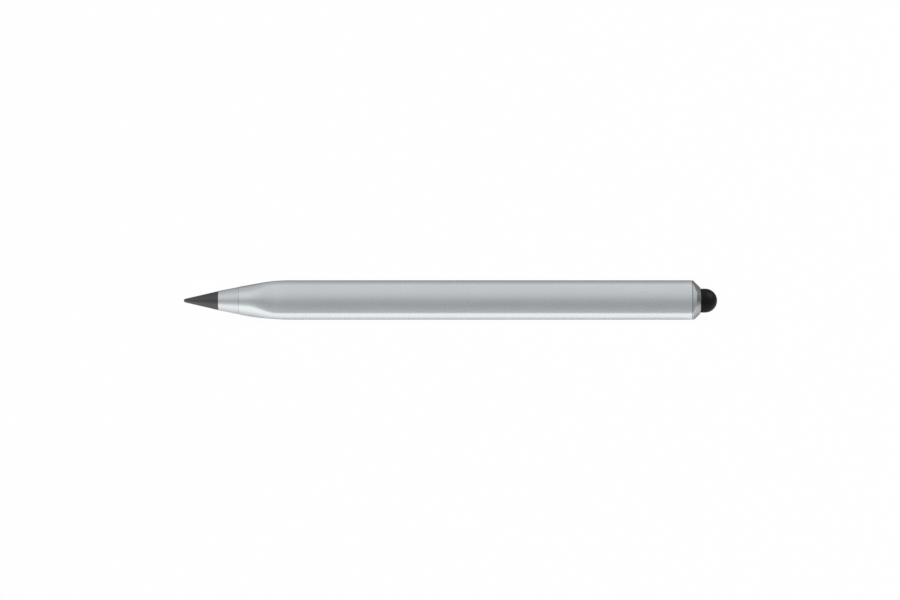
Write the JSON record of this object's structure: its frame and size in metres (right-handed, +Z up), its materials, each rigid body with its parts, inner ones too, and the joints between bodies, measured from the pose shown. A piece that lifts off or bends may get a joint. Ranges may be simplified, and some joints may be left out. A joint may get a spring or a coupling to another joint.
{
  "type": "metal pencil",
  "caption": "Slim triangular metal pencil with a screw-in writing nib that needs no ink, and a soft dome on its rear for touch screens.",
  "frame": {"origin": "under the middle of the pencil's length, on the plane that its lowest face rests on", "axes": "+X along the pencil from the writing nib to the soft dome, +Z up through the top corner, +Y to its left"},
  "size_m": [0.138, 0.0102, 0.0099],
  "materials": {
    "nib_alloy": "satin",
    "satin_aluminium": "satin",
    "black_rubber": "matte",
    "brass": "satin",
    "nylon": "satin"
  },
  "bodies": {
    "barrel_unit": {"barrel": "satin_aluminium", "nose_bush": "brass", "cap_sleeve": "nylon", "end_cap": "satin_aluminium", "stylus_post": "brass", "stylus_dome": "black_rubber"},
    "ring_carrier": {"seal_ring": "black_rubber"},
    "nib_unit": {"nib_ferrule": "satin_aluminium", "nib": "nib_alloy"}
  },
  "joints": [
    {"name": "nib_travel", "type": "slide", "parent": "barrel_unit", "child": "ring_carrier", "axis": [-1, 0, 0], "range_m": [0, 0.0063]},
    {"name": "nib_turn", "type": "hinge", "parent": "ring_carrier", "child": "nib_unit", "pos_m": [-0.0547, 0, 0.00444], "axis": [-1, 0, 0], "range_deg": [0, 3240]}
  ],
  "couplings": [
    {"joint": "nib_turn", "follows": "nib_travel", "rad_per_m": 8976}
  ]
}
